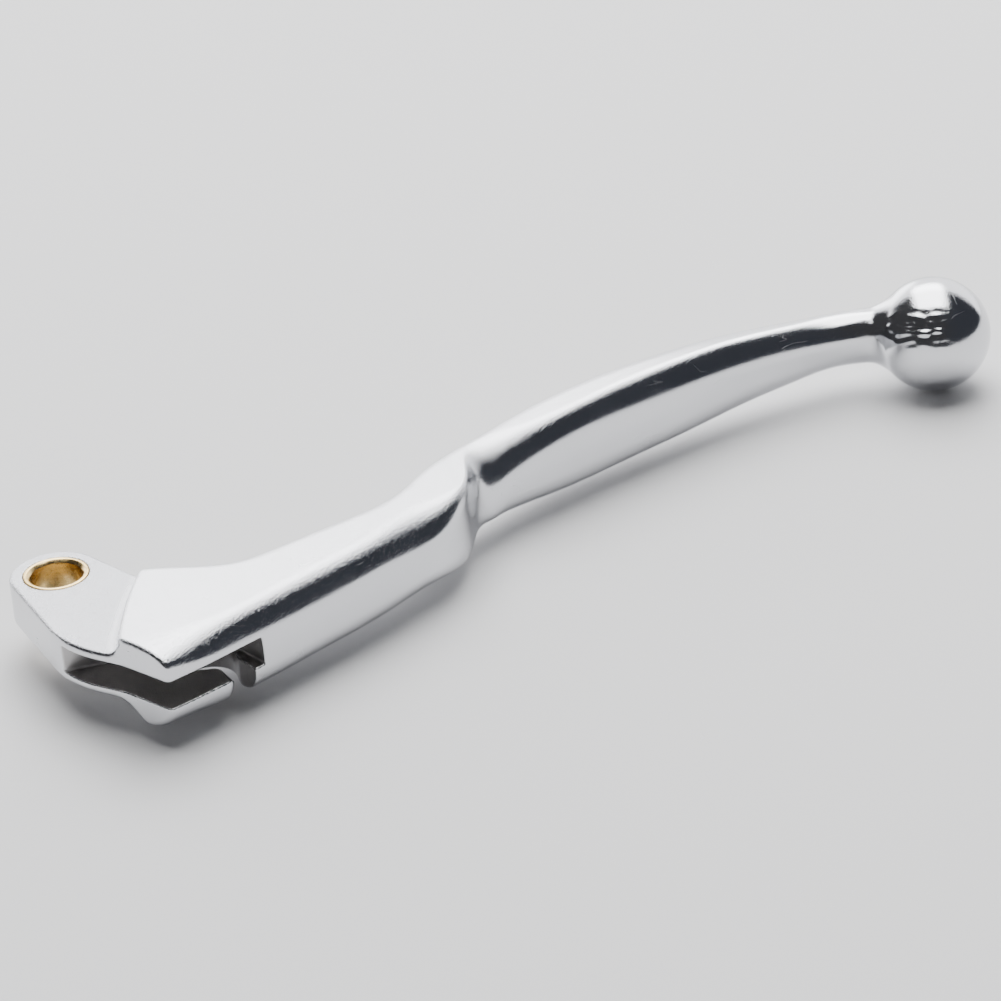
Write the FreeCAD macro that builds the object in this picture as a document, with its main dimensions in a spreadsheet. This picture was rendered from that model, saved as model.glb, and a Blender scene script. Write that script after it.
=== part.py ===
import FreeCAD, Part
import math
import os
import Sketcher

# Cable clutch lever, forged in one piece, with a bearing bush in its pivot eye.
# Origin: on the pivot axis, at mid height of the eye. +X runs to the centre of
# the end ball, +Y to the hand-grip side, +Z up along the pivot axis.

DOC = FreeCAD.newDocument("clutch_lever")
SHEET = DOC.addObject("Spreadsheet::Sheet", "Sizes")
ROW_OF = {}
LEAST_CUT = 0.01
SAME_POINT = 1e-6
UP = FreeCAD.Vector(0, 0, 1)


def size(alias, value):
    """Store one driving dimension, in millimetres or degrees, under its alias."""
    row = len(ROW_OF) + 1
    SHEET.set("A%d" % row, alias)
    SHEET.set("B%d" % row, str(value))
    SHEET.setAlias("B%d" % row, alias)
    ROW_OF[alias] = row


def station(name, along, front, back, height):
    """One cross-section of the forging, square to X, symmetric about z = 0."""
    size(name + "_along", along)
    size(name + "_front", front)
    size(name + "_back", back)
    size(name + "_height", height)


# Pivot eye and bush
size("boss_radius", 7.2)
size("boss_thickness", 7.2)
size("eye_bore_dia", 10.06)
size("bush_outer_dia", 10.0)
size("bush_bore_dia", 8.0)
size("bush_length", 7.3)
size("bush_chamfer", 0.4)
size("eye_chamfer", 0.3)

# Plan outline of the eye plate and of the end wall of the cable ears
size("back_wall_angle", 19.2)
size("back_wall_length", 15.8)
size("plate_inner_x", 12.5)
size("plate_inner_y", -33.5)
size("side_wall_end_y", -15.0)
size("side_sweep_radius", 18.0)
size("side_sweep_end_x", -3.4)
size("side_sweep_end_y", -26.6)
size("ear_root_x", -1.7)
size("ear_root_y", -28.9)
size("end_wall_x", 3.7)
size("end_wall_y", -41.1)
size("trim_left_x", -20.0)

# Steps from the machined eye faces up to the forged body
size("step_centre_x", 89.4)
size("step_centre_y", -71.3)
size("step_radius", 100.0)
size("step_fillet", 2.3)
size("lower_step_shift_x", 1.2)
size("lower_step_shift_y", -0.8)
size("lower_step_turn", 75.0)
size("lower_step_crest", 2.2)
size("lower_step_crease", 15.0)
size("lower_step_run", 6.0)
size("step_clear_radius", 150.0)
size("step_clear_height", 12.0)

# Forged body and blade, from the ears to the ball
station("heel", -5.0, -39.8, -5.0, 13.8)
station("nose", 3.0, -38.2, -7.5, 13.8)
station("cheek", 12.0, -35.9, -10.6, 13.8)
station("waist", 21.0, -33.3, -15.3, 13.8)
station("body", 32.0, -29.7, -14.7, 13.7)
station("shoulder", 44.0, -25.5, -12.5, 13.5)
station("knuckle", 53.0, -21.9, -9.4, 13.3)
station("knuckle_end", 58.6, -19.5, -5.8, 13.2)
station("groove", 62.6, -15.8, -3.3, 13.1)
station("throat", 66.6, -10.9, -1.4, 13.0)
station("grip_root", 73.0, -8.1, 1.2, 13.0)
station("grip_rise", 84.0, -4.8, 5.1, 13.6)
station("grip_mid", 97.0, -1.6, 8.1, 13.8)
station("grip_fall", 110.0, 1.1, 9.8, 13.2)
station("taper", 122.0, 3.3, 10.4, 11.7)
station("slim", 132.0, 4.0, 10.1, 10.0)
station("neck", 140.0, 3.5, 9.6, 8.7)
station("collar", 145.5, 1.9, 8.4, 8.3)
station("ball_root", 150.5, -0.6, 5.8, 8.0)
size("nose_edge_z", 5.1)
size("nose_crown_radius", 20.0)
size("nose_under_radius", 2.4)
size("nose_under_lift", 0.6)
size("cheek_under_radius", 4.2)
size("cheek_front_radius", 3.2)
size("body_front_radius", 4.6)
size("body_back_radius", 3.0)
size("grip_front_share", 0.55)
size("grip_back_share", 0.38)

# Ball end
size("ball_dia", 18.8)
size("ball_centre_x", 154.4)

# Cable slot, nipple seat and wire slit
size("slot_height", 4.4)
size("slot_mouth_x", 22.3)
size("slot_open_y", -45.0)
size("slot_end_x", 17.1)
size("slot_end_y", -24.0)
size("slot_rear_x", 12.5)
size("slot_rear_y", -21.2)
size("slot_rear_radius", 5.0)
size("slot_bend_x", 4.0)
size("slot_bend_y", -21.2)
size("slot_left_x", -12.0)
size("slot_left_y", -17.8)
size("nipple_x", 13.2)
size("nipple_y", -26.2)
size("nipple_dia", 8.2)
size("slit_width", 3.5)
size("slit_offset", 1.05)
size("slit_angle", 11.5)
size("slit_reach", 14.0)
size("slit_lip_round", 0.6)

DOC.recompute()


def ref(alias):
    return "Sizes." + alias


NOUGHT = "0 * " + ref("boss_radius")


def number(expression):
    """Present value of an expression over the sheet."""
    result = SHEET.evalExpression(expression)
    return float(getattr(result, "Value", result))


def value(alias):
    return number(ref(alias))


def new_body(label):
    body = DOC.addObject("PartDesign::Body", label)
    body.Label = label
    return body


def plane(body, role):
    """The origin plane of a body that has this role."""
    return [f for f in body.Origin.OriginFeatures if f.Role == role][0]


def new_sketch(body, name, role):
    sketch = body.newObject("Sketcher::SketchObject", name)
    sketch.AttachmentSupport = [(plane(body, role), "")]
    sketch.MapMode = "FlatFace"
    return sketch


def bind(sketch, constraint, expression):
    """Add a dimensional constraint and drive it from the sheet."""
    index = sketch.addConstraint(constraint)
    sketch.setExpression("Constraints[%d]" % index, expression)


def pin(sketch, geo, point, x_expression, y_expression):
    """Fix one point of the sketch by its two coordinates."""
    place = sketch.getPoint(geo, point)
    bind(sketch, Sketcher.Constraint("DistanceX", -1, 1, geo, point, place.x), x_expression)
    bind(sketch, Sketcher.Constraint("DistanceY", -1, 1, geo, point, place.y), y_expression)


def vector(x, y):
    return FreeCAD.Vector(x, y, 0)


def arc_between(start, end, radius, bulge):
    """Arc from start to end; bulge +1 puts it left of the chord, -1 right."""
    chord = end - start
    half = chord.Length / 2
    rise = radius - math.sqrt(radius * radius - half * half)
    side = vector(-chord.y, chord.x).normalize() * (bulge * rise)
    return Part.Arc(start, (start + end) * 0.5 + side, end)


def add_chain(sketch, edges):
    """Add lines and arcs as a closed loop; returns the index of each edge's head point."""
    heads = []
    for geo, (edge, head) in enumerate(edges):
        sketch.addGeometry(edge, False)
        drawn_first = (sketch.getPoint(geo, 1) - head).Length < SAME_POINT
        heads.append(1 if drawn_first else 2)
    for geo in range(len(edges)):
        follower = (geo + 1) % len(edges)
        sketch.addConstraint(Sketcher.Constraint(
            "Coincident", geo, 3 - heads[geo], follower, heads[follower]))
    return heads


def section_sketch(body, name, top_radius, under_radius, back_radius, edge_z=None, lift=None):
    """Rounded rectangle across the lever at one station.

    With edge_z the top crown meets the front face at that height, in an edge;
    lift raises the underside.
    """
    sketch = new_sketch(body, name + "_section", "YZ_Plane")
    sketch.setExpression("AttachmentOffset.Base.z", ref(name + "_along"))
    front = value(name + "_front")
    back = value(name + "_back")
    half_height = ref(name + "_height") + " / 2"
    depth = half_height if lift is None else half_height + " - " + lift
    top = number(half_height)
    bottom = -number(depth)
    crown = number(top_radius)
    under = number(under_radius)
    rear = number(back_radius)
    right_angle = math.pi / 2
    shoulder_z = top - crown
    crown_end = math.pi
    if edge_z is not None:
        crown_end = math.pi - math.asin((number(edge_z) - shoulder_z) / crown)
    crown_y = front - crown * math.cos(crown_end)
    edge_height = shoulder_z + crown * math.sin(crown_end)
    lines = (
        Part.LineSegment(vector(front, edge_height), vector(front, bottom + under)),
        Part.LineSegment(vector(front + under, bottom), vector(back - rear, bottom)),
        Part.LineSegment(vector(back, bottom + rear), vector(back, top - rear)),
        Part.LineSegment(vector(back - rear, top), vector(crown_y, top)),
    )
    turns = (
        (front + under, bottom + under, under, math.pi, 3 * right_angle),
        (back - rear, bottom + rear, rear, 3 * right_angle, 2 * math.pi),
        (back - rear, top - rear, rear, 0.0, right_angle),
        (crown_y, shoulder_z, crown, right_angle, crown_end),
    )
    for line, (x, y, radius, first, last) in zip(lines, turns):
        circle = Part.Circle(vector(x, y), UP, radius)
        sketch.addGeometry(line, False)
        sketch.addGeometry(Part.ArcOfCircle(circle, first, last), False)
    for geo in range(7):
        sketch.addConstraint(Sketcher.Constraint("Tangent", geo, 2, geo + 1, 1))
    closing = "Tangent" if edge_z is None else "Coincident"
    sketch.addConstraint(Sketcher.Constraint(closing, 7, 2, 0, 1))
    sketch.addConstraint(Sketcher.Constraint("Vertical", 0))
    sketch.addConstraint(Sketcher.Constraint("Horizontal", 2))
    sketch.addConstraint(Sketcher.Constraint("Vertical", 4))
    sketch.addConstraint(Sketcher.Constraint("Horizontal", 6))
    sketch.addConstraint(Sketcher.Constraint("Equal", 3, 5))
    bind(sketch, Sketcher.Constraint("DistanceX", -1, 1, 0, 2, front), ref(name + "_front"))
    bind(sketch, Sketcher.Constraint("DistanceX", -1, 1, 4, 1, back), ref(name + "_back"))
    bind(sketch, Sketcher.Constraint("DistanceY", -1, 1, 6, 1, top), half_height)
    bind(sketch, Sketcher.Constraint("DistanceY", 2, 1, -1, 1, -bottom), depth)
    bind(sketch, Sketcher.Constraint("Radius", 1, under), under_radius)
    bind(sketch, Sketcher.Constraint("Radius", 3, rear), back_radius)
    bind(sketch, Sketcher.Constraint("Radius", 7, crown), top_radius)
    if edge_z is not None:
        bind(sketch, Sketcher.Constraint("DistanceY", -1, 1, 0, 1, edge_height), edge_z)
    return sketch


def share_of_width(share, name):
    """This share of the width of the lever at a station."""
    return "%s * (%s - %s)" % (ref(share), ref(name + "_back"), ref(name + "_front"))


def outline(body, name, corners, bends=()):
    """Closed sketch on the XY plane through corners given as expressions.

    bends lists (edge number, radius expression, bulge) for edges that are arcs.
    """
    sketch = new_sketch(body, name, "XY_Plane")
    draw_outline(sketch, corners, bends)
    return sketch


def draw_outline(sketch, corners, bends=()):
    """Draw and pin the closed outline through corners given as expressions."""
    points = [vector(number(x), number(y)) for x, y in corners]
    arcs = {edge: (radius, bulge) for edge, radius, bulge in bends}
    edges = []
    for geo, start in enumerate(points):
        end = points[(geo + 1) % len(points)]
        if geo in arcs:
            radius, bulge = arcs[geo]
            edges.append((arc_between(start, end, number(radius), bulge), start))
        else:
            edges.append((Part.LineSegment(start, end), start))
    heads = add_chain(sketch, edges)
    for geo, (x, y) in enumerate(corners):
        pin(sketch, geo, heads[geo], x, y)
    for geo, (radius, bulge) in arcs.items():
        bind(sketch, Sketcher.Constraint("Radius", geo, number(radius)), radius)


def disc(body, name, x, y, diameter):
    """Circle on the XY plane, centred by two expressions."""
    sketch = new_sketch(body, name, "XY_Plane")
    centre = vector(number(x), number(y))
    sketch.addGeometry(Part.Circle(centre, UP, number(diameter) / 2), False)
    pin(sketch, 0, 3, x, y)
    bind(sketch, Sketcher.Constraint("Diameter", 0, number(diameter)), diameter)
    return sketch


def pad(body, name, sketch, length):
    """Pad to both sides of the sketch, with this full length."""
    feature = body.newObject("PartDesign::Pad", name)
    feature.Profile = sketch
    feature.SideType = "Symmetric"
    feature.setExpression("Length", length)
    DOC.recompute()
    return feature


def pocket(body, name, sketch, side, length=None):
    """Cut with the sketch to both sides or down; no length cuts through all."""
    before = body.Shape.Volume
    feature = body.newObject("PartDesign::Pocket", name)
    feature.Profile = sketch
    if side == "both":
        feature.SideType = "Symmetric"
    if length is None:
        feature.Type = "ThroughAll"
    else:
        feature.setExpression("Length", length)
    DOC.recompute()
    if body.Shape.Volume > before - LEAST_CUT:
        raise RuntimeError(name + " removed nothing")
    return feature


def edge_near(shape, x, y, z):
    """Name of the edge that passes closest to a point."""
    spot = Part.Vertex(x, y, z)
    gaps = [spot.distToShape(edge)[0] for edge in shape.Edges]
    return "Edge%d" % (gaps.index(min(gaps)) + 1)


def chamfer_bore(body, name, bore_dia, length, chamfer):
    """Chamfer both mouths of a bore that lies on the Z axis."""
    radius = number(bore_dia) / 2
    half = number(length) / 2
    mouths = [edge_near(body.Shape, 0, radius, z) for z in (-half, half)]
    base = body.Tip
    feature = body.newObject("PartDesign::Chamfer", name)
    feature.Base = (base, mouths)
    feature.setExpression("Size", chamfer)
    DOC.recompute()


# ---- lever blade: the one-piece forging ----

lever = new_body("lever_blade")

BODY_STATIONS = ("waist", "body", "shoulder", "knuckle", "knuckle_end")
BLADE_STATIONS = (
    "groove", "throat", "grip_root", "grip_rise", "grip_mid",
    "grip_fall", "taper", "slim", "neck", "collar", "ball_root",
)


def build_forging():
    """Loft the forged skin from the ears, over the knuckle, to the ball."""
    back_radius = ref("body_back_radius")
    under_radius = ref("nose_under_radius")
    sections = []
    for name in ("heel", "nose"):
        sections.append(section_sketch(
            lever, name, ref("nose_crown_radius"), under_radius, back_radius,
            edge_z=ref("nose_edge_z"), lift=ref("nose_under_lift")))
    sections.append(section_sketch(
        lever, "cheek", ref("cheek_front_radius"), ref("cheek_under_radius"), back_radius))
    for name in BODY_STATIONS:
        front_radius = ref("body_front_radius")
        sections.append(section_sketch(lever, name, front_radius, front_radius, back_radius))
    for name in BLADE_STATIONS:
        front_radius = share_of_width("grip_front_share", name)
        back_radius = share_of_width("grip_back_share", name)
        sections.append(section_sketch(lever, name, front_radius, front_radius, back_radius))
    loft = lever.newObject("PartDesign::AdditiveLoft", "forging")
    loft.Profile = sections[0]
    loft.Sections = [(section, ("",)) for section in sections[1:]]
    loft.Ruled = False
    DOC.recompute()


def build_ball():
    ball = lever.newObject("PartDesign::AdditiveSphere", "end_ball")
    ball.AttachmentSupport = [(plane(lever, "XY_Plane"), "")]
    ball.MapMode = "FlatFace"
    ball.setExpression("Radius", ref("ball_dia") + " / 2")
    ball.setExpression("AttachmentOffset.Base.x", ref("ball_centre_x"))
    DOC.recompute()


def build_plate():
    """The eye plate: a round eye and the web that joins it to the forged body."""
    tangent_x = ref("boss_radius") + " * cos(" + ref("back_wall_angle") + ")"
    tangent_y = ref("boss_radius") + " * sin(" + ref("back_wall_angle") + ")"
    run = ref("back_wall_length")
    left = "0 - " + ref("boss_radius")
    corners = (
        (left, NOUGHT),
        (tangent_x, tangent_y),
        (tangent_x + " + " + run + " * sin(" + ref("back_wall_angle") + ")",
         tangent_y + " - " + run + " * cos(" + ref("back_wall_angle") + ")"),
        (ref("plate_inner_x"), ref("plate_inner_y")),
        (left, ref("plate_inner_y")),
    )
    web = outline(lever, "web_sketch", corners)
    pad(lever, "web", web, ref("boss_thickness"))
    eye = disc(lever, "eye_sketch", NOUGHT, NOUGHT, "2 * " + ref("boss_radius"))
    pad(lever, "eye", eye, ref("boss_thickness"))


def trim_end_wall():
    """Cut the side wall's sweep and the slanted end wall of the ears."""
    left = "0 - " + ref("boss_radius")
    corners = (
        (left, ref("side_wall_end_y")),
        (ref("side_sweep_end_x"), ref("side_sweep_end_y")),
        (ref("ear_root_x"), ref("ear_root_y")),
        (ref("end_wall_x"), ref("end_wall_y")),
        (ref("trim_left_x"), ref("end_wall_y")),
        (ref("trim_left_x"), ref("side_wall_end_y")),
    )
    sketch = outline(lever, "end_sketch", corners, ((0, ref("side_sweep_radius"), -1),))
    pocket(lever, "end_wall", sketch, "both")


def step_sketch(name, shift_x, shift_y):
    """Empty sketch standing on the step's vertical axis."""
    sketch = new_sketch(lever, name, "XZ_Plane")
    sketch.setExpression("AttachmentOffset.Base.x", ref("step_centre_x") + " + " + shift_x)
    centre_y = ref("step_centre_y") + " + " + shift_y
    sketch.setExpression("AttachmentOffset.Base.z", "0 - (" + centre_y + ")")
    return sketch


def turn_away(name, sketch):
    """Cut the sketch all round its own vertical axis."""
    before = lever.Shape.Volume
    groove = lever.newObject("PartDesign::Groove", name)
    groove.Profile = sketch
    groove.ReferenceAxis = (sketch, ["V_Axis"])
    groove.Angle = 360
    DOC.recompute()
    if lever.Shape.Volume > before - LEAST_CUT:
        raise RuntimeError(name + " removed nothing")


def build_upper_step():
    """Upper step: a flat eye face, a fillet at its foot and an upright wall."""
    sketch = step_sketch("upper_step_sketch", NOUGHT, NOUGHT)
    face = ref("boss_thickness") + " / 2"
    corners = (
        (ref("step_radius"), ref("step_clear_height")),
        (ref("step_radius"), face + " + " + ref("step_fillet")),
        (ref("step_radius") + " + " + ref("step_fillet"), face),
        (ref("step_clear_radius"), face),
        (ref("step_clear_radius"), ref("step_clear_height")),
    )
    draw_outline(sketch, corners, ((1, ref("step_fillet"), -1),))
    turn_away("upper_step", sketch)


def build_lower_step():
    """Lower step: a flat eye face that rises in an S-shaped sweep."""
    sketch = step_sketch("lower_step_sketch", ref("lower_step_shift_x"), ref("lower_step_shift_y"))
    foot_radius = ref("step_fillet")
    crest_radius = ref("lower_step_crest")
    run = ref("lower_step_run")
    steep = ref("lower_step_turn")
    slack = ref("lower_step_crease")
    face = "(0 - " + ref("boss_thickness") + " / 2)"
    foot_x = "({0} + {1})".format(ref("step_radius"), foot_radius)
    rise_x = "({0} - {1} * sin({2}))".format(foot_x, foot_radius, steep)
    rise_z = "({0} - {1} * (1 - cos({2})))".format(face, foot_radius, steep)
    crest_x = "({0} - {1} * (sin({2}) - sin({3})))".format(rise_x, crest_radius, steep, slack)
    crest_z = "({0} - {1} * (cos({3}) - cos({2})))".format(rise_z, crest_radius, steep, slack)
    run_x = "({0} - {1} * cos({2}))".format(crest_x, run, slack)
    run_z = "({0} - {1} * sin({2}))".format(crest_z, run, slack)
    bottom = "(0 - " + ref("step_clear_height") + ")"
    corners = (
        (foot_x, face),
        (rise_x, rise_z),
        (crest_x, crest_z),
        (run_x, run_z),
        (run_x, bottom),
        (ref("step_clear_radius"), bottom),
        (ref("step_clear_radius"), face),
    )
    bends = ((0, foot_radius, -1), (1, crest_radius, 1))
    draw_outline(sketch, corners, bends)
    turn_away("lower_step", sketch)


def build_slot():
    """Cable slot, open to the front and to the left."""
    corners = (
        (ref("slot_left_x"), ref("slot_open_y")),
        (ref("slot_mouth_x"), ref("slot_open_y")),
        (ref("slot_end_x"), ref("slot_end_y")),
        (ref("slot_rear_x"), ref("slot_rear_y")),
        (ref("slot_bend_x"), ref("slot_bend_y")),
        (ref("slot_left_x"), ref("slot_left_y")),
    )
    sketch = outline(lever, "slot_sketch", corners, ((2, ref("slot_rear_radius"), -1),))
    pocket(lever, "cable_slot", sketch, "both", ref("slot_height"))


def build_nipple_seat():
    """Round seat through the lower ear, with the slit that lets the wire in."""
    seat = disc(lever, "nipple_sketch", ref("nipple_x"), ref("nipple_y"), ref("nipple_dia"))
    pocket(lever, "nipple_seat", seat, "down")
    cosine = " * cos(" + ref("slit_angle") + ")"
    sine = " * sin(" + ref("slit_angle") + ")"
    inner = "(" + ref("slit_offset") + " - " + ref("slit_width") + " / 2)"
    outer = "(" + ref("slit_offset") + " + " + ref("slit_width") + " / 2)"
    reach = ref("slit_reach")
    corners = []
    for across, along in ((inner, "0"), (inner, reach), (outer, reach), (outer, "0")):
        x = ref("nipple_x") + " + " + across + cosine + " + " + along + sine
        y = ref("nipple_y") + " + " + across + sine + " - " + along + cosine
        corners.append((x, y))
    slit = outline(lever, "slit_sketch", corners)
    pocket(lever, "wire_slit", slit, "down")


def round_slit_lip():
    """Round the corner between the seat and the long wall of the slit."""
    across = value("slit_offset") - value("slit_width") / 2
    along = math.sqrt((value("nipple_dia") / 2) ** 2 - across ** 2)
    angle = math.radians(value("slit_angle"))
    x = value("nipple_x") + across * math.cos(angle) + along * math.sin(angle)
    y = value("nipple_y") + across * math.sin(angle) - along * math.cos(angle)
    base = lever.Tip
    corner = edge_near(lever.Shape, x, y, -value("boss_thickness") / 2)
    lip = lever.newObject("PartDesign::Fillet", "slit_lip")
    lip.Base = (base, [corner])
    lip.setExpression("Radius", ref("slit_lip_round"))
    DOC.recompute()


def build_eye_bore():
    """Through bore for the bush, with both mouths chamfered."""
    bore = disc(lever, "bore_sketch", NOUGHT, NOUGHT, ref("eye_bore_dia"))
    pocket(lever, "eye_bore", bore, "both")
    chamfer_bore(lever, "eye_mouths", ref("eye_bore_dia"), ref("boss_thickness"),
                 ref("eye_chamfer"))


build_forging()
build_plate()
trim_end_wall()
build_upper_step()
build_lower_step()
build_ball()
build_slot()
build_nipple_seat()
round_slit_lip()
build_eye_bore()
lever.Placement = FreeCAD.Placement()


# ---- pivot bush: the plain bearing in the eye ----

bush = new_body("pivot_bush")


def build_bush():
    """Plain cylindrical bush, standing slightly proud of both eye faces."""
    barrel = disc(bush, "barrel_sketch", NOUGHT, NOUGHT, ref("bush_outer_dia"))
    pad(bush, "barrel", barrel, ref("bush_length"))
    bore = disc(bush, "bush_bore_sketch", NOUGHT, NOUGHT, ref("bush_bore_dia"))
    pocket(bush, "bush_bore", bore, "both")
    chamfer_bore(bush, "bush_mouths", ref("bush_bore_dia"), ref("bush_length"),
                 ref("bush_chamfer"))


build_bush()
bush.Placement = FreeCAD.Placement()


# ---- check and write ----

DOC.recompute()


def check_document():
    """Stop if any object failed or any solid is missing or broken."""
    for item in DOC.Objects:
        if "Invalid" in item.State or "Error" in item.State:
            raise RuntimeError(item.Label + " failed to build")
    for body in (lever, bush):
        if body.Shape.isNull() or not body.Shape.isValid():
            raise RuntimeError(body.Label + " is not a valid shape")
        if len(body.Shape.Solids) != 1:
            raise RuntimeError(body.Label + " is not one solid")


check_document()
os.makedirs("parts", exist_ok=True)
for body in (lever, bush):
    body.Shape.exportStep("parts/" + body.Label + ".step")
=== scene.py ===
import math

import bpy
import numpy as np
from mathutils import Matrix, Vector


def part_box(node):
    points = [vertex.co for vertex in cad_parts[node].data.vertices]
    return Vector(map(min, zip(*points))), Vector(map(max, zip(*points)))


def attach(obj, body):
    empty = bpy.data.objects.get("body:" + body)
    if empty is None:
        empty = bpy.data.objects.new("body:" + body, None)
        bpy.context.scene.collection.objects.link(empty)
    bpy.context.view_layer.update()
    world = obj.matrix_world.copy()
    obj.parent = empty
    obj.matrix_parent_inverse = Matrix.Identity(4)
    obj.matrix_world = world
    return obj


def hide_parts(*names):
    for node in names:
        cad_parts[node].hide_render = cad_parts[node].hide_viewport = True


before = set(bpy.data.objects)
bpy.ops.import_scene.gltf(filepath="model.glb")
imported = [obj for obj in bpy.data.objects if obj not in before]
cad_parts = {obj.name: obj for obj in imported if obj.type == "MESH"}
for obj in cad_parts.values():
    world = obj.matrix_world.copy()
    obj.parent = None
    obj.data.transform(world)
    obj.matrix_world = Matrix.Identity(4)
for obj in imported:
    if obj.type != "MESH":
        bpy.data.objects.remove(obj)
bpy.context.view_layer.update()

MM = 0.001

# ---- lever: sizes in millimetres, in the frame's axes ----

# One row per cross-section: place along X, front and back in Y, height,
# and the width and height of the rounds at the front top edge.
STATIONS = (
    (-5.0, -39.8, -5.0, 13.8, 8.0, 2.0),
    (3.0, -38.2, -7.5, 13.8, 8.0, 2.7),
    (12.0, -35.9, -10.6, 13.8, 5.2, 5.9),
    (21.0, -33.3, -15.3, 13.8, 4.7, 7.3),
    (32.0, -29.7, -14.7, 13.7, 4.9, 7.5),
    (44.0, -25.5, -12.5, 13.5, 5.1, 7.1),
    (53.0, -21.9, -9.4, 13.3, 5.9, 6.7),
    (58.0, -19.5, -5.8, 13.2, 4.0, 4.6),
    (62.0, -15.8, -3.3, 13.1, 2.1, 2.3),
    (64.5, -12.5, -2.1, 13.0, 2.6, 2.9),
    (66.0, -10.9, -1.4, 13.0, 4.8, 6.0),
    (69.5, -9.2, -0.1, 13.0, 7.4, 9.0),
    (73.0, -7.9, 1.2, 13.1, 6.6, 8.3),
    (84.0, -4.8, 5.1, 13.6, 3.9, 7.3),
    (97.0, -1.6, 8.1, 13.8, 3.9, 7.5),
    (110.0, 1.1, 9.8, 13.2, 3.9, 7.4),
    (122.0, 3.3, 10.4, 11.7, 3.7, 6.0),
    (132.0, 4.0, 10.1, 10.0, 3.5, 5.0),
    (140.0, 3.4, 9.7, 9.0, 4.0, 4.3),
    (145.5, 1.6, 8.5, 9.0, 3.6, 4.3),
    (150.5, -0.6, 6.0, 8.6, 3.5, 4.2),
)
SKIN_START = -5.0
SKIN_END = 152.0
SECTION_POWER = 2.2
BACK_ROUND_SHARE = 0.38
BACK_ROUND_DEPTH = 9.0
UNDER_ROUND = 4.5
UNDER_GAP = 0.2

EYE_RADIUS = 7.2
EYE_HALF = 3.6
EYE_BORE_RADIUS = 5.03
BACK_WALL_ANGLE = math.radians(19.2)
WEB_RIGHT = 12.3
WEB_FRONT = -33.5
SWEEP_CENTRE = (10.8, -15.5)
SWEEP_RADIUS = 18.0
EAR_ROOT = (-1.7, -28.9)
EAR_TIP = (3.7, -41.1)
EAR_ROOT_ROUND = 1.0

STEP_CENTRE = (89.4, -71.3)
STEP_RADIUS = 100.0
STEP_FOOT = 2.5
LOWER_STEP_CENTRE = (90.6, -72.1)
LOWER_FOOT = 2.3
LOWER_CREST = 2.2
LOWER_STEEP = math.radians(75.0)
LOWER_SLACK = math.radians(15.0)

BALL_X = 154.4
BALL_RADIUS = 9.4
BALL_NECK_ROUND = 2.4

SLOT_HALF = 2.2
SLOT_REAR_Y = -21.2
SLOT_BEND_X = 4.0
SLOT_LEFT = (-12.0, -17.8)
SLOT_RIGHT = (17.1, -24.0)
SLOT_MOUTH = (22.3, -45.0)
SLOT_REAR_ROUND = 5.0
SEAT_CENTRE = (13.2, -26.2)
SEAT_RADIUS = 4.1
SLIT_HALF = 1.75
SLIT_OFFSET = 1.05
SLIT_ANGLE = math.radians(11.5)
SLIT_LIP = 1.2

EDGE_ROUND = 0.45
PLATE_ROUND = 0.65
STEP_TOP_ROUND = 0.9
EAR_END_ROUND = 0.8
EAR_TIP_ROUND = 1.5
FINE_ROUND = 0.3

WRINKLE_START = (144.0, -0.2, 4.1)
WRINKLE_END = (150.6, -7.0, 5.0)
WRINKLE_ACROSS = (0.28, 0.45, 0.83)
WRINKLE_REACH = 2.3
WRINKLE_DEPTH = 0.10
WRINKLE_LENGTHS = (1.2, 2.5)
WRINKLE_COUNT = 16
WRINKLE_RUN_SHARE = 0.3
WRINKLE_SEED = 8
WAVE_DEPTH = 0.004
WAVE_LENGTHS = (7.0, 16.0)
WAVE_COUNT = 8
WAVE_SEED = 3
FROST_END = 130.0
FROST_FADE = 60.0


def bend_of(knots, values):
    """Second derivatives of the natural cubic spline through these values."""
    steps = np.diff(knots)
    slopes = np.diff(values) / steps
    count = len(knots)
    matrix = np.eye(count)
    target = np.zeros(count)
    for i in range(1, count - 1):
        matrix[i, i - 1:i + 2] = steps[i - 1], 2 * (steps[i - 1] + steps[i]), steps[i]
        target[i] = 6 * (slopes[i] - slopes[i - 1])
    return np.linalg.solve(matrix, target)


KNOTS, *COLUMNS = np.array(STATIONS).T
CURVES = [(column, bend_of(KNOTS, column)) for column in COLUMNS]
FRONT, BACK_SIDE, HEIGHT, ROUND_Y, ROUND_Z = CURVES


def along_lever(curve, x):
    """Smooth curve through one column of the stations, at x."""
    column, bend = curve
    x = np.clip(x, KNOTS[0], KNOTS[-1])
    i = np.clip(np.searchsorted(KNOTS, x, side="right") - 1, 0, len(KNOTS) - 2)
    step = KNOTS[i + 1] - KNOTS[i]
    t = (x - KNOTS[i]) / step
    r = 1 - t
    bow = (r ** 3 - r) * bend[i] + (t ** 3 - t) * bend[i + 1]
    return r * column[i] + t * column[i + 1] + bow * step ** 2 / 6


def join(a, b, radius):
    """Union of two distance fields, with a fillet of this radius in the inner corner."""
    inner = np.hypot(np.maximum(radius - a, 0), np.maximum(radius - b, 0))
    return np.maximum(radius, np.minimum(a, b)) - inner


def common(a, b, radius):
    """Intersection of two distance fields, with its outer edge rounded."""
    outer = np.hypot(np.maximum(radius + a, 0), np.maximum(radius + b, 0))
    return np.minimum(-radius, np.maximum(a, b)) + outer


def side_of(x, y, start, end):
    """Distance to the right of the line from start to end, in plan."""
    run = math.hypot(end[0] - start[0], end[1] - start[1])
    along = ((end[0] - start[0]) / run, (end[1] - start[1]) / run)
    return (x - start[0]) * along[1] - (y - start[1]) * along[0]


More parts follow.
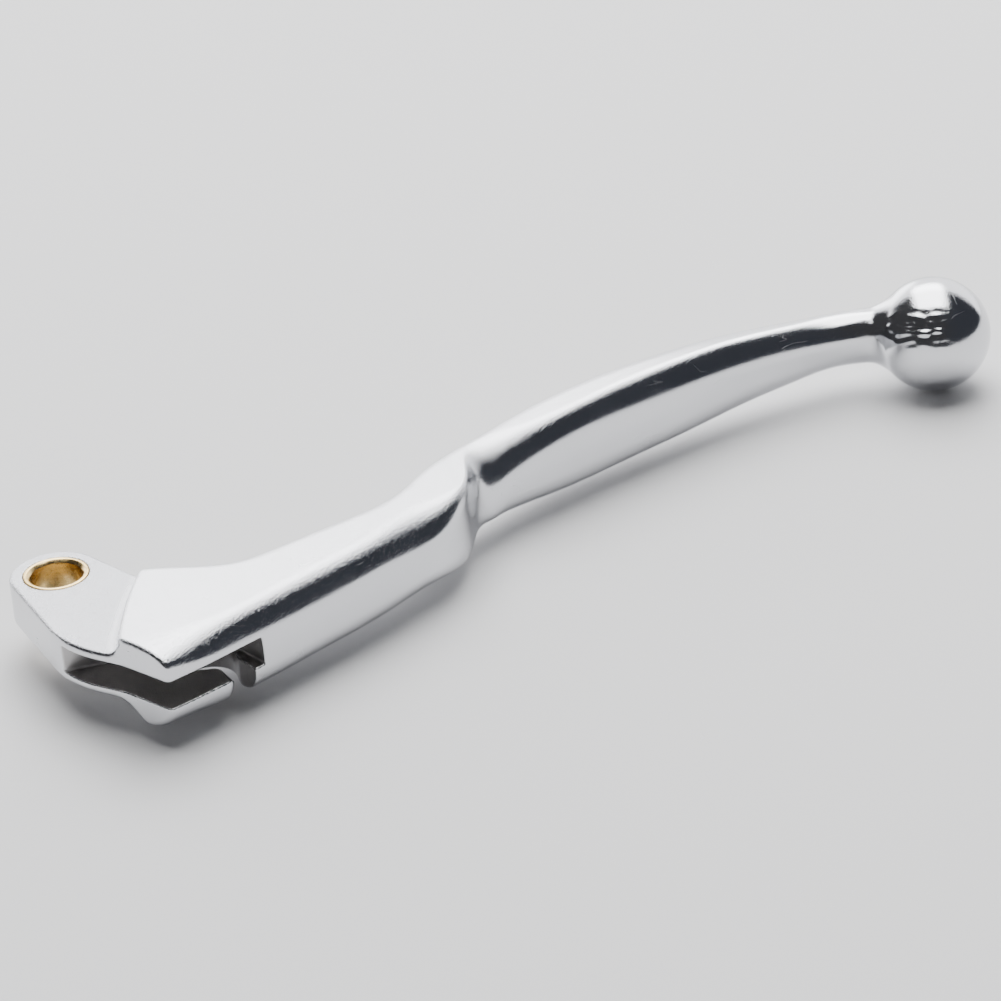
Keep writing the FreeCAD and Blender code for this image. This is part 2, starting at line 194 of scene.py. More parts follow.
def corner(across, up, width, height):
    """Distance to a rounded corner: both inputs grow outwards from its centre.

    The two small numbers only keep the divisions away from zero, deep inside the metal.
    """
    power = SECTION_POWER
    u = np.maximum(across / width, 0)
    w = np.maximum(up / height, 0)
    reach = np.maximum((u ** power + w ** power) ** (1 / power), 1e-4)
    grow = power - 1
    slope = np.hypot((u / reach) ** grow / width, (w / reach) ** grow / height)
    return (reach - 1) / np.maximum(slope, 1e-3)


def skin_field(x, y, z):
    """Forged skin: a rounded section that changes along the lever."""
    front = along_lever(FRONT, x)
    back = along_lever(BACK_SIDE, x)
    half = along_lever(HEIGHT, x) / 2
    round_y = along_lever(ROUND_Y, x)
    round_z = along_lever(ROUND_Z, x)
    rear = BACK_ROUND_SHARE * np.minimum(back - front, BACK_ROUND_DEPTH)
    upper = corner(front + round_y - y, z - half + round_z, round_y, round_z)
    under_z = np.minimum(UNDER_ROUND, np.minimum(half - UNDER_GAP, 2 * half - round_z))
    under = corner(front + round_y - y, -z - half + under_z, round_y, under_z)
    rear_corner = corner(y - back + rear, np.abs(z) - half + rear, rear, rear)
    fore = np.where(z > half - round_z, upper, under)
    fore = np.where((z <= half - round_z) & (z >= under_z - half), front - y, fore)
    return np.maximum(np.maximum(fore, rear_corner), np.abs(z) - half)


def slot_field(x, y, z):
    """Cable slot: a level gap between the ears, negative inside."""
    rear = np.minimum(y - SLOT_REAR_Y, -side_of(x, y, SLOT_LEFT, (SLOT_BEND_X, SLOT_REAR_Y)))
    right = -side_of(x, y, SLOT_RIGHT, SLOT_MOUTH)
    return common(common(rear, right, SLOT_REAR_ROUND), np.abs(z) - SLOT_HALF, FINE_ROUND)


def slit_axes(x, y):
    """Distances across and along the wire slit, from the centre of the nipple seat."""
    out_x = x - SEAT_CENTRE[0]
    out_y = y - SEAT_CENTRE[1]
    across = out_x * math.cos(SLIT_ANGLE) + out_y * math.sin(SLIT_ANGLE)
    along = out_x * math.sin(SLIT_ANGLE) - out_y * math.cos(SLIT_ANGLE)
    return across, along


def hole_field(x, y, z):
    """Nipple seat and wire slit through the lower ear, negative inside."""
    across, along = slit_axes(x, y)
    seat = np.hypot(across, along) - SEAT_RADIUS
    slit = np.maximum(np.abs(across - SLIT_OFFSET) - SLIT_HALF, -along)
    return np.maximum(join(seat, slit, SLIT_LIP), z)


def forging(x, y, z):
    """Forged skin with its upper and lower steps down to the eye plate, and the end ball."""
    skin = skin_field(x, y, z)
    skin = np.maximum(skin, np.maximum(SKIN_START - x, x - SKIN_END))
    from_step = np.hypot(x - STEP_CENTRE[0], y - STEP_CENTRE[1]) - STEP_RADIUS
    skin = common(skin, join(z - EYE_HALF, from_step, STEP_FOOT), STEP_TOP_ROUND)
    skin = common(skin, lower_step(x, y, z), EDGE_ROUND)
    from_ball = np.sqrt((x - BALL_X) ** 2 + y ** 2 + z ** 2) - BALL_RADIUS
    return join(skin, from_ball, BALL_NECK_ROUND)


def lower_step(x, y, z):
    """Underside: a steep wall up from the plate, then a slack run, with a rounded crest."""
    centre_x, centre_y = LOWER_STEP_CENTRE
    from_lower = np.hypot(x - centre_x, y - centre_y) - STEP_RADIUS
    steep_sin, steep_cos = math.sin(LOWER_STEEP), math.cos(LOWER_STEEP)
    slack_sin, slack_cos = math.sin(LOWER_SLACK), math.cos(LOWER_SLACK)
    wall_r = LOWER_FOOT * (1 - steep_sin)
    wall_z = -EYE_HALF - LOWER_FOOT * (1 - steep_cos)
    run_r = wall_r - LOWER_CREST * (steep_sin - slack_sin)
    run_z = wall_z - LOWER_CREST * (slack_cos - steep_cos)
    wall = (from_lower - wall_r) * steep_sin - (z - wall_z) * steep_cos
    run = (from_lower - run_r) * slack_sin - (z - run_z) * slack_cos
    return join(-z - EYE_HALF, common(wall, run, LOWER_CREST), LOWER_FOOT)


def eye_plate(x, y, z):
    """Flat plate of the pivot eye, widening forwards into the ears."""
    disc = np.hypot(x, y) - EYE_RADIUS
    tangent = x * math.cos(BACK_WALL_ANGLE) + y * math.sin(BACK_WALL_ANGLE) - EYE_RADIUS
    top_y = EYE_RADIUS * math.sin(BACK_WALL_ANGLE)
    top_x = EYE_RADIUS * math.cos(BACK_WALL_ANGLE)
    lid = side_of(x, y, (top_x, top_y), (-EYE_RADIUS, 0.0))
    web = np.maximum(np.maximum(-EYE_RADIUS - x, tangent), np.maximum(lid, x - WEB_RIGHT))
    web = np.maximum(web, WEB_FRONT - y)
    return common(np.minimum(disc, web), np.abs(z) - EYE_HALF, PLATE_ROUND)


def field(x, y, z):
    """Signed distance to the lever, negative in the metal."""
    metal = np.minimum(forging(x, y, z), eye_plate(x, y, z))

    # End of the ears: a hollow sweep from the plate, then a straight wall.
    sweep = np.hypot(x - SWEEP_CENTRE[0], y - SWEEP_CENTRE[1]) - SWEEP_RADIUS
    end_wall = side_of(x, y, EAR_ROOT, EAR_TIP)
    metal = common(metal, join(sweep, end_wall, EAR_ROOT_ROUND), EAR_END_ROUND)

    # Slot, seat with its slit, and bore. The slit's outer corner on the ear is rounder.
    metal = common(metal, -slot_field(x, y, z), FINE_ROUND)
    across, along = slit_axes(x, y)
    tip = np.clip((along - SEAT_RADIUS) / SEAT_RADIUS, 0, 1) * np.clip(SLIT_OFFSET - across, 0, 1)
    hole_round = FINE_ROUND + (EAR_TIP_ROUND - FINE_ROUND) * tip
    metal = common(metal, -hole_field(x, y, z), hole_round)
    metal = common(metal, EYE_BORE_RADIUS - np.hypot(x, y), FINE_ROUND)
    return metal + WAVE_DEPTH * ripple(x, y, z, WAVES) + wrinkles(x, y, z)


def wave_set(seed, lengths, count, axes):
    """Plane waves: wave vectors spread about these axes, and phases."""
    draw = np.random.default_rng(seed)
    directions = draw.normal(size=(count, len(axes))) @ np.array(axes)
    directions /= np.linalg.norm(directions, axis=1, keepdims=True)
    drawn = draw.uniform(lengths[0], lengths[1], count)
    return directions * (2 * math.pi / drawn)[:, None], draw.uniform(0, 2 * math.pi, count)


WRINKLE_RUN = np.subtract(WRINKLE_END, WRINKLE_START)
WRINKLE_ALONG = WRINKLE_RUN_SHARE * WRINKLE_RUN / np.linalg.norm(WRINKLE_RUN)
WAVES = wave_set(WAVE_SEED, WAVE_LENGTHS, WAVE_COUNT, np.eye(3))
CREASE_AXES = (WRINKLE_ACROSS, WRINKLE_ALONG)
CREASES = wave_set(WRINKLE_SEED, WRINKLE_LENGTHS, WRINKLE_COUNT, CREASE_AXES)


def ripple(x, y, z, waves):
    """Sum of the plane waves, with an even strength whatever their number."""
    total = 0
    for (kx, ky, kz), phase in zip(*waves):
        total = total + np.sin(kx * x + ky * y + kz * z + phase)
    return total / math.sqrt(len(waves[1]))


def wrinkles(x, y, z):
    """Hand-ground creases on the front of the neck, where it meets the ball."""
    from_start = (x - WRINKLE_START[0], y - WRINKLE_START[1], z - WRINKLE_START[2])
    share = sum(gap * run for gap, run in zip(from_start, WRINKLE_RUN))
    share = np.clip(share / (WRINKLE_RUN @ WRINKLE_RUN), 0, 1)
    away = sum((gap - share * run) ** 2 for gap, run in zip(from_start, WRINKLE_RUN))
    mask = np.exp(-away / WRINKLE_REACH ** 2)
    return WRINKLE_DEPTH * mask * ripple(x, y, z, CREASES)


# ---- mesh of the lever ----

GRID_STEP = 0.3
GRID_SLAB = 40
GRID_MARGIN = 3 * GRID_STEP
SETTLE_PASSES = 3
SETTLE_LIMIT = 0.5 * GRID_STEP
SLOPE_REACH = 0.01
SLOPE_FLOOR = 0.05
PLATE_BAND = 0.2
CUT_BAND = 0.15
FROST_TILT = (0.35, 0.75)
FROST_LEAST = 0.15


def surface_net(values, origin, step):
    """Quad mesh of the zero surface of a field sampled on a grid."""
    inside = values < 0
    cells = np.array(values.shape) - 1
    total = int(np.prod(cells))
    sums = np.zeros((total, 3))
    counts = np.zeros(total)
    strides = np.array([cells[1] * cells[2], cells[2], 1])
    quads = []
    for axis in range(3):
        low = [slice(None)] * 3
        high = [slice(None)] * 3
        low[axis] = slice(0, -1)
        high[axis] = slice(1, None)
        low = tuple(low)
        high = tuple(high)
        nodes = np.argwhere(inside[low] != inside[high])
        near = values[low][tuple(nodes.T)]
        far = values[high][tuple(nodes.T)]
        place = nodes.astype(float)
        place[:, axis] += near / (near - far)
        side_u = np.eye(3, dtype=int)[(axis + 1) % 3]
        side_v = np.eye(3, dtype=int)[(axis + 2) % 3]
        corners = [
            (nodes - side_u * du - side_v * dv) @ strides
            for du, dv in ((1, 1), (0, 1), (0, 0), (1, 0))
        ]
        for cell in corners:
            counts += np.bincount(cell, minlength=total)
            for k in range(3):
                sums[:, k] += np.bincount(cell, weights=place[:, k], minlength=total)
        ring = np.stack(corners, 1)
        flip = near > 0
        ring[flip] = ring[flip][:, ::-1]
        quads.append(ring)
    quads = np.concatenate(quads)
    used = np.flatnonzero(counts)
    index = np.zeros(total, np.int64)
    index[used] = np.arange(len(used))
    points = sums[used] / counts[used, None] * step + origin
    return points, index[quads]


def slope_at(points):
    """Gradient of the field at points."""
    parts = []
    for axis in range(3):
        shift = np.zeros(3)
        shift[axis] = SLOPE_REACH
        ahead = field(*(points + shift).T)
        behind = field(*(points - shift).T)
        parts.append((ahead - behind) / (2 * SLOPE_REACH))
    return np.stack(parts, 1)


def settle(points):
    """Move points onto the zero surface, by at most SETTLE_LIMIT a pass."""
    for _ in range(SETTLE_PASSES):
        gradient = slope_at(points)
        squared = np.maximum((gradient ** 2).sum(1), SLOPE_FLOOR)
        move = -gradient * (field(*points.T) / squared)[:, None]
        length = np.linalg.norm(move, axis=1, keepdims=True)
        points = points + move * np.minimum(1, SETTLE_LIMIT / np.maximum(length, 1e-9))
    return points


def mesh_piece(name, points, faces, normals=None):
    """Smooth-shaded mesh object from points in millimetres."""
    mesh = bpy.data.meshes.new(name)
    mesh.from_pydata((points * MM).tolist(), [], faces.tolist())
    mesh.polygons.foreach_set("use_smooth", [True] * len(mesh.polygons))
    if normals is not None:
        mesh.normals_split_custom_set_from_vertices(normals.tolist())
    piece = bpy.data.objects.new(name, mesh)
    bpy.context.scene.collection.objects.link(piece)
    return piece


def nearness(distance, band):
    """1 on a surface, fading to 0 at this distance from it."""
    return np.clip(1 - np.abs(distance) / band, 0, 1)


def mark_finish(piece, points, normals):
    """Point attributes for the material: satin eye faces, frosted top, cut slot and seat walls,
    which also carry painted shade.
    """
    x, y, z = points.T
    from_step = np.hypot(x - STEP_CENTRE[0], y - STEP_CENTRE[1]) - STEP_RADIUS
    satin = nearness(np.abs(z) - EYE_HALF, PLATE_BAND) * np.clip(from_step / STEP_FOOT, 0, 1)
    facing_up = np.clip((normals[:, 2] - FROST_TILT[0]) / (FROST_TILT[1] - FROST_TILT[0]), 0, 1)
    frost = facing_up * np.clip((FROST_END - x) / FROST_FADE, FROST_LEAST, 1)
    in_slot = nearness(slot_field(x, y, z), CUT_BAND)
    in_hole = nearness(hole_field(x, y, z), CUT_BAND) * (z < 0)
    in_bore = nearness(np.hypot(x, y) - EYE_BORE_RADIUS, CUT_BAND)
    # The cut mark also carries painted shade: the material darkens these recess walls with it.
    cut_and_shade = np.maximum(np.maximum(in_slot, in_hole), in_bore)
    for name, values in (("satin", satin), ("frost", frost), ("cut_and_shade", cut_and_shade)):
        layer = piece.data.attributes.new(name, "FLOAT", "POINT")
        layer.data.foreach_set("value", values.astype(np.float32))


def build_lever():
    """Skin of the lever: the field sampled on a grid, meshed and settled onto its surface."""
    low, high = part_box("lever_blade")
    first = np.array(low) / MM - GRID_MARGIN
    last = np.array(high) / MM + GRID_MARGIN
    axes = [np.arange(a, b, GRID_STEP) for a, b in zip(first, last)]
    x = axes[0][:, None, None]
    y = axes[1][None, :, None]
    z = axes[2][None, None, :]
    values = np.empty([len(axis) for axis in axes], np.float32)
    for i in range(0, len(axes[0]), GRID_SLAB):
        values[i:i + GRID_SLAB] = field(x[i:i + GRID_SLAB], y, z)
    points, quads = surface_net(values, first, GRID_STEP)
    points = settle(points)
    gradient = slope_at(points)
    normals = gradient / np.linalg.norm(gradient, axis=1, keepdims=True)
    piece = mesh_piece("lever_skin", points, quads, normals)
    mark_finish(piece, points, normals)
    return piece


# ---- materials: depths in metres ----

def material(name):
    """New material: itself, its nodes, its links and its shader."""
    made = bpy.data.materials.new(name)
    made.use_nodes = True
    nodes = made.node_tree.nodes
    shader = nodes["Principled BSDF"]
    return made, nodes, made.node_tree.links, shader


def texture_place(nodes, links, scale):
    """Object coordinates, stretched by this scale."""
    place = nodes.new("ShaderNodeTexCoord")
    mapping = nodes.new("ShaderNodeMapping")
    mapping.inputs["Scale"].default_value = scale
    links.new(place.outputs["Object"], mapping.inputs["Vector"])
    return mapping.outputs["Vector"]


def noise(nodes, links, place, scale, detail=2.0, rough=0.5):
    """Noise texture, as a value from 0 to 1."""
    made = nodes.new("ShaderNodeTexNoise")
    made.inputs["Scale"].default_value = scale
    made.inputs["Detail"].default_value = detail
    made.inputs["Roughness"].default_value = rough
    links.new(place, made.inputs["Vector"])
    return made.outputs["Fac"]


def remap(nodes, links, value, low, high, to_low, to_high):
    """Smooth step from one range of values to another."""
    made = nodes.new("ShaderNodeMapRange")
    made.interpolation_type = "SMOOTHSTEP"
    made.inputs["From Min"].default_value = low
    made.inputs["From Max"].default_value = high
    made.inputs["To Min"].default_value = to_low
    made.inputs["To Max"].default_value = to_high
    links.new(value, made.inputs["Value"])
    return made.outputs["Result"]


def compute(nodes, links, operation, first, second):
    """One math node; each input is a socket or a number."""
    made = nodes.new("ShaderNodeMath")
    made.operation = operation
    for socket, given in zip(made.inputs, (first, second)):
        if isinstance(given, (int, float)):
            socket.default_value = given
        else:
            links.new(given, socket)
    return made.outputs["Value"]


def blend_colour(nodes, links, factor, first, second):
    """Mix two colours, each a socket or a tuple. The node's colours are inputs 6 and 7, output 2."""
    made = nodes.new("ShaderNodeMix")
    made.data_type = "RGBA"
    links.new(factor, made.inputs[0])
    for socket, given in zip(made.inputs[6:8], (first, second)):
        if isinstance(given, tuple):
            socket.default_value = given
        else:
            links.new(given, socket)
    return made.outputs[2]


def bump(nodes, links, height, distance, strength=1.0, under=None):
    """Relief from a height, laid over another relief if one is given."""
    made = nodes.new("ShaderNodeBump")
    made.inputs["Distance"].default_value = distance
    made.inputs["Strength"].default_value = strength
    links.new(height, made.inputs["Height"])
    if under is not None:
        links.new(under, made.inputs["Normal"])
    return made.outputs["Normal"]


def attribute(nodes, name):
    """One of the point attributes that mark_finish wrote."""
    made = nodes.new("ShaderNodeAttribute")
    made.attribute_name = name
    return made.outputs["Fac"]


SCRATCH_SCALE = 60.0
SCRATCH_WIDTH = 0.012
PATCH_SCALE = 160.0
PATCH_EDGE = 0.08


def scratches(nodes, links, scale, threshold, patch_squeeze):
    """Sparse fine lines: thin ridges of a stretched noise, kept only in patches."""
    lines = noise(nodes, links, texture_place(nodes, links, scale), SCRATCH_SCALE, detail=1.0)
    from_middle = compute(nodes, links, "SUBTRACT", lines, 0.5)
    ridge = compute(nodes, links, "ABSOLUTE", from_middle, 0.0)
    thin = remap(nodes, links, ridge, 0.0, SCRATCH_WIDTH, 1.0, 0.0)
    patch_place = texture_place(nodes, links, (1.0, 1.0 + patch_squeeze, 1.0))
    patches = noise(nodes, links, patch_place, PATCH_SCALE, detail=1.0)
    kept = remap(nodes, links, patches, threshold, threshold + PATCH_EDGE, 0.0, 1.0)
    return compute(nodes, links, "MULTIPLY", thin, kept)


PLAIN = (1.0, 1.0, 1.0)
MOTTLE_SCALE = 90.0
GRAIN_SCALE = 3600.0
GRAIN_DEPTH = 0.00011
GRAIN_EVERYWHERE = 0.12
NICK_DEPTH = -0.00001
NICK_STRENGTH = 0.5
# Two sets of scratches: squeeze of the noise, where patches start, and their squeeze in Y.
NICKS_ALONG = ((2.0, 9.0, 9.0), 0.60, 0.3)
NICKS_ASLANT = ((9.0, 2.5, 4.0), 0.63, 0.7)
MOTTLE_RANGE = (0.35, 0.65)
SKIN_COLOURS = (0.60, 0.607, 0.63, 1), (0.66, 0.667, 0.69, 1)
SATIN_COLOURS = (0.36, 0.365, 0.385, 1), (0.43, 0.435, 0.455, 1)
# Slot, seat and bore walls: their darker, brownish colours are painted shade and a painted brown
# reflection in these recesses; the mottle in them is the metal's own tone.
CUT_WALL_SHADE_COLOURS = (0.40, 0.39, 0.39, 1), (0.56, 0.55, 0.545, 1)
POLISH = (0.085, 0.135)
SATIN_ROUGHER = 0.14
FROST_ROUGHER = 0.05
CUT_ROUGHER = 0.20
NICK_ROUGHER = 0.2


def aluminium():
    """Buffed aluminium: bright skin, satin eye faces, duller machined slot and seat, rougher and
    darkened with painted shade.
    """
    made, nodes, links, shader = material("polished_aluminium")
    plain = texture_place(nodes, links, PLAIN)
    satin = attribute(nodes, "satin")
    cut_and_shade = attribute(nodes, "cut_and_shade")
    frost = attribute(nodes, "frost")
    mottle = noise(nodes, links, plain, MOTTLE_SCALE, detail=3.0, rough=0.6)
    fine = noise(nodes, links, plain, GRAIN_SCALE, rough=0.6)

    skin = blend_colour(nodes, links, mottle, *SKIN_COLOURS)
    dull = blend_colour(nodes, links, mottle, *SATIN_COLOURS)
    # Cut walls: darkened with painted shade and a painted brown reflection.
    inner = blend_colour(nodes, links, mottle, *CUT_WALL_SHADE_COLOURS)
    outside = blend_colour(nodes, links, satin, skin, dull)
    # Where the cut walls are marked, the painted shade colour replaces the skin; the same mark also
    # makes them rougher, which is real.
    colour = blend_colour(nodes, links, cut_and_shade, outside, inner)
    links.new(colour, shader.inputs["Base Color"])

    along = scratches(nodes, links, *NICKS_ALONG)
    aslant = scratches(nodes, links, *NICKS_ASLANT)
    nicks = compute(nodes, links, "MAXIMUM", along, aslant)
    rougher = (
        (satin, SATIN_ROUGHER),
        (frost, FROST_ROUGHER),
        (cut_and_shade, CUT_ROUGHER),
        (nicks, NICK_ROUGHER),
    )
    rough = remap(nodes, links, mottle, *MOTTLE_RANGE, *POLISH)
    for part, share in rougher:
        added = compute(nodes, links, "MULTIPLY", part, share)
        rough = compute(nodes, links, "ADD", rough, added)
    links.new(rough, shader.inputs["Roughness"])

    strength = compute(nodes, links, "ADD", frost, GRAIN_EVERYWHERE)
    depth = compute(nodes, links, "MULTIPLY", fine, strength)
    grain = bump(nodes, links, depth, GRAIN_DEPTH)
    relief = bump(nodes, links, nicks, NICK_DEPTH, NICK_STRENGTH, grain)
    links.new(relief, shader.inputs["Normal"])
    shader.inputs["Metallic"].default_value = 1.0
    return made


BRASS_LIGHT = (0.80, 0.59, 0.27, 1)
BRASS_WARM = (0.62, 0.43, 0.16, 1)
BRASS_LINE = (0.42, 0.31, 0.14, 1)
BAND_SHAPE = (0.3, 0.3, 1.0)
BAND_SCALE = 420.0
BAND_RANGE = (0.35, 0.7)
LINE_SHAPE = (1.0, 1.0, 30.0)
LINE_SCALE = 300.0
LINE_RANGE = (0.4, 0.7)
LINE_SHARE = 0.5
LINE_DEPTH = 0.00001
LINE_STRENGTH = 0.5
BRASS_ROUGHNESS = (0.2, 0.34)
BRASS_MOTTLE = 700.0
BRASS_RANGE = (0.3, 0.7)


def brass():
    """Bored brass: fine turning rings, and warmer and darker bands round the wall."""
    made, nodes, links, shader = material("bush_brass")
    plain = texture_place(nodes, links, PLAIN)
    lines = texture_place(nodes, links, LINE_SHAPE)
    bands = texture_place(nodes, links, BAND_SHAPE)
    band_noise = noise(nodes, links, bands, BAND_SCALE)
    band = remap(nodes, links, band_noise, *BAND_RANGE, 0.0, 1.0)
    line = noise(nodes, links, lines, LINE_SCALE, detail=3.0, rough=0.7)
    warm = blend_colour(nodes, links, band, BRASS_LIGHT, BRASS_WARM)
    darker = remap(nodes, links, line, *LINE_RANGE, 0.0, LINE_SHARE)
    colour = blend_colour(nodes, links, darker, warm, BRASS_LINE)
    links.new(colour, shader.inputs["Base Color"])
    mottle = noise(nodes, links, plain, BRASS_MOTTLE)
    rough = remap(nodes, links, mottle, *BRASS_RANGE, *BRASS_ROUGHNESS)
    links.new(rough, shader.inputs["Roughness"])
    relief = bump(nodes, links, line, LINE_DEPTH, LINE_STRENGTH)
    links.new(relief, shader.inputs["Normal"])
    shader.inputs["Metallic"].default_value = 1.0
    return made


# ---- bush, in millimetres ----

BUSH_WALL = 1.0
BUSH_CHAMFER = 0.5
BUSH_EDGE = 0.12
BUSH_SEGMENTS = 160
BUSH_RINGS = 56
RING_DEPTH = 0.004
RING_SEED = 5
CHAMFER_SOFT = 0.05
CHAMFER_OUTSIDE = 0.06
CHAMFER_INSIDE = 0.03
EDGE_CORNER = 0.3
SHARP_ANGLE = math.radians(40)


def bush_profile(outer, half):
    """Closed section of the bush: radius and height, outside, end, chamfer and bored wall."""
    inner = outer - BUSH_WALL
    top = [
        (outer, half - BUSH_EDGE),
        (outer - EDGE_CORNER * BUSH_EDGE, half - EDGE_CORNER * BUSH_EDGE),
        (outer - BUSH_EDGE, half),
        (inner + BUSH_CHAMFER + CHAMFER_OUTSIDE, half),
        (inner + BUSH_CHAMFER - CHAMFER_INSIDE, half - CHAMFER_SOFT),
        (inner + CHAMFER_INSIDE, half - BUSH_CHAMFER + CHAMFER_SOFT),
    ]
    draw = np.random.default_rng(RING_SEED)
    heights = np.linspace(half - BUSH_CHAMFER, BUSH_CHAMFER - half, BUSH_RINGS)
    wall = [(inner + RING_DEPTH * draw.uniform(0, 1), height) for height in heights]
    bottom = [(radius, -height) for radius, height in reversed(top)]
    return top + wall + bottom


def build_bush():
    """The section turned about the pivot axis."""
    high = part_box("pivot_bush")[1]
    outer = high.x / MM
    half = high.z / MM
    profile = bush_profile(outer, half)
    points = []
    for k in range(BUSH_SEGMENTS):
        angle = 2 * math.pi * k / BUSH_SEGMENTS
        points += [(r * math.cos(angle), r * math.sin(angle), height) for r, height in profile]
    count = len(profile)
    faces = []
    for k in range(BUSH_SEGMENTS):
        here = k * count
        after = (k + 1) % BUSH_SEGMENTS * count
        for i in range(count):
            j = (i + 1) % count
            faces.append((here + i, here + j, after + j, after + i))
    piece = mesh_piece("bush_ring", np.array(points), np.array(faces))
    piece.data.set_sharp_from_angle(angle=SHARP_ANGLE)
    return piece


# ---- the two visible pieces ----

lever_skin = build_lever()
lever_skin.data.materials.append(aluminium())
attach(lever_skin, "lever")
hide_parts("lever_blade")

bush_ring = build_bush()
bush_ring.data.materials.append(brass())
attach(bush_ring, "bush")
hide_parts("pivot_bush")

# ---- floor, light and camera, in metres ----

CAMERA_ELEVATION = math.radians(28.2)
CAMERA_AZIMUTH = math.radians(23.74)
CAMERA_ROLL = math.radians(5.0)
CAMERA_DISTANCE = 0.7314
CAMERA_TARGET = Vector((0.06957, -0.01139, 0.0))
FOCAL_SHARE = 4.695
SENSOR = 36.0
CAMERA_NEAR = 0.01

# Level directions as the camera has them: away from it, and to its right.
BACK = Vector((math.sin(CAMERA_AZIMUTH), math.cos(CAMERA_AZIMUTH), 0))
RIGHT = Vector((math.cos(CAMERA_AZIMUTH), -math.sin(CAMERA_AZIMUTH), 0))
UP = Vector((0, 0, 1))

ROOM_LEFT = (0.060, 0.060, 0.064, 1)
ROOM_RIGHT = (0.054, 0.058, 0.070, 1)
ROOM_BLEND = (0.0, 0.8)
BACKDROP = (2.7, 2.7, 2.75, 1)
BACKDROP_EDGE = (0.545, 0.60)
BACKDROP_TURN = 0.07

CARD = (6.5, 6.5, 6.6, 1)
CARD_BACK, CARD_LEFT, CARD_UP = 0.92, 0.37, 0.10
CARD_EDGE = (0.93, 0.97)

BANK_HEIGHT = 0.9
BANK_WIDTH = 0.90
BANK_DEPTH = 1.67
BANK_BACK = 0.68
BANK_RIGHT = 0.11
BANK_SOFT_EDGE = 0.022
BANK_PANELS = 3
BANK_GAP = 0.003
BANK_POWER = 36.0

FLOOR_PLACE = (0.07, 0, -0.0096)
FLOOR_SIZE = 8.0
FLOOR_COLOUR = (0.72, 0.72, 0.725, 1)
# Painted shade: the paper darkens away from the lever, a falloff of light painted into its colour.
FLOOR_FAR_SHADE = (0.42, 0.42, 0.43, 1)
FLOOR_SHADE_FALL = (0.25, 1.3)
FLOOR_ROUGHNESS = 0.9
FLOOR_SPECULAR = 0.1


def build_camera():
    """Camera at the viewing angle, rolled a little and aimed at the middle of the lever."""
    look = math.cos(CAMERA_ELEVATION) * BACK - math.sin(CAMERA_ELEVATION) * UP
    level_up = math.sin(CAMERA_ELEVATION) * BACK + math.cos(CAMERA_ELEVATION) * UP
    right = math.cos(CAMERA_ROLL) * RIGHT - math.sin(CAMERA_ROLL) * level_up
    up = math.cos(CAMERA_ROLL) * level_up + math.sin(CAMERA_ROLL) * RIGHT
    data = bpy.data.cameras.new("camera")
    data.sensor_width = SENSOR
    data.lens = FOCAL_SHARE * SENSOR
    data.clip_start = CAMERA_NEAR
    camera = bpy.data.objects.new("camera", data)
    bpy.context.scene.collection.objects.link(camera)
    turn = Matrix((right, up, -look)).transposed()
    camera.matrix_world = Matrix.Translation(CAMERA_TARGET - CAMERA_DISTANCE * look) @ turn.to_4x4()
    bpy.context.scene.camera = camera


def build_softbox():
    """Overhead bank, level, reaching back over the lever: nested panels give it soft edges."""
    for k in range(BANK_PANELS):
        inset = BANK_SOFT_EDGE * k
        data = bpy.data.lights.new("overhead_bank_%d" % k, "AREA")
        data.shape = "RECTANGLE"
        data.size = BANK_WIDTH - 2 * inset
        data.size_y = BANK_DEPTH - 2 * inset
        share = data.size * data.size_y / (BANK_WIDTH * BANK_DEPTH)
        data.energy = BANK_POWER * share / BANK_PANELS
        lamp = bpy.data.objects.new(data.name, data)
        bpy.context.scene.collection.objects.link(lamp)
        centre = (BANK_HEIGHT + BANK_GAP * k) * UP + BANK_BACK * BACK + BANK_RIGHT * RIGHT
        turn = Matrix((RIGHT, BACK, UP)).transposed()
        lamp.matrix_world = Matrix.Translation(centre) @ turn.to_4x4()


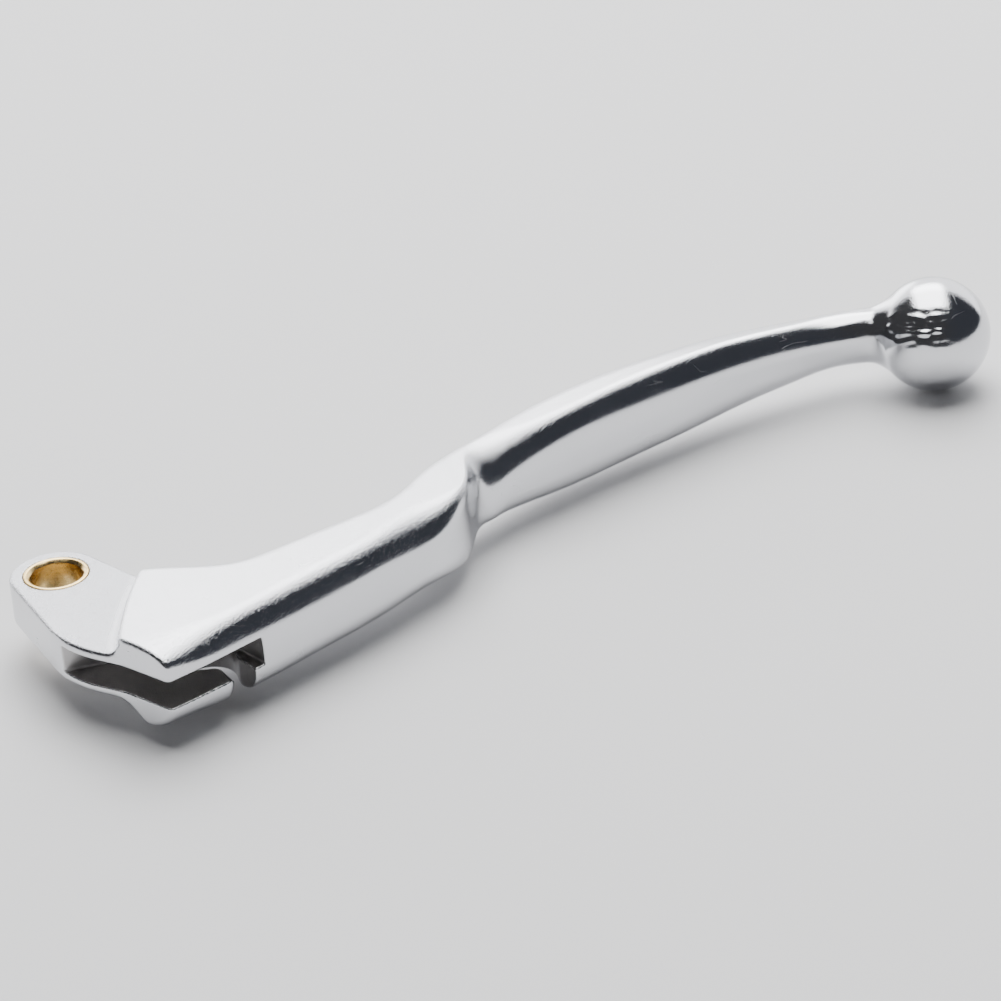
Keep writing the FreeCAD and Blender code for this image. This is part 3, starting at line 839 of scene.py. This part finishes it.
def facing(nodes, links, place, direction):
    """How far the looked-at part of the world lies in this direction, -1 to 1."""
    made = nodes.new("ShaderNodeVectorMath")
    made.operation = "DOT_PRODUCT"
    made.inputs[1].default_value = direction
    links.new(place, made.inputs[0])
    return made.outputs["Value"]


def build_world():
    """Pale backdrop behind the lever, a bright card in it and a dim room in front."""
    world = bpy.data.worlds.new("surroundings")
    world.use_nodes = True
    nodes = world.node_tree.nodes
    links = world.node_tree.links
    place = nodes.new("ShaderNodeTexCoord").outputs["Generated"]
    toward_back = facing(nodes, links, place, BACK + BACKDROP_TURN * RIGHT)
    toward_right = facing(nodes, links, place, RIGHT)
    toward_card = facing(nodes, links, place, CARD_BACK * BACK - CARD_LEFT * RIGHT + CARD_UP * UP)
    backdrop = remap(nodes, links, toward_back, *BACKDROP_EDGE, 0.0, 1.0)
    room_side = remap(nodes, links, toward_right, *ROOM_BLEND, 0.0, 1.0)
    card = remap(nodes, links, toward_card, *CARD_EDGE, 0.0, 1.0)
    room = blend_colour(nodes, links, room_side, ROOM_LEFT, ROOM_RIGHT)
    colour = blend_colour(nodes, links, backdrop, room, BACKDROP)
    colour = blend_colour(nodes, links, card, colour, CARD)
    links.new(colour, nodes["Background"].inputs["Color"])
    bpy.context.scene.world = world


def build_floor():
    """Matt paper just under the lever, with painted shade making it darker far away."""
    bpy.ops.mesh.primitive_plane_add(size=FLOOR_SIZE, location=FLOOR_PLACE)
    floor = bpy.context.object
    floor.name = "floor"
    made, nodes, links, shader = material("floor_paper")
    reach = nodes.new("ShaderNodeVectorMath")
    reach.operation = "LENGTH"
    links.new(texture_place(nodes, links, PLAIN), reach.inputs[0])
    # Painted shade: the colour darkens with distance from the lever.
    shade_fall = remap(nodes, links, reach.outputs["Value"], *FLOOR_SHADE_FALL, 0.0, 1.0)
    colour = blend_colour(nodes, links, shade_fall, FLOOR_COLOUR, FLOOR_FAR_SHADE)
    links.new(colour, shader.inputs["Base Color"])
    shader.inputs["Roughness"].default_value = FLOOR_ROUGHNESS
    shader.inputs["Specular IOR Level"].default_value = FLOOR_SPECULAR
    floor.data.materials.append(made)


build_camera()
build_floor()
build_softbox()
build_world()
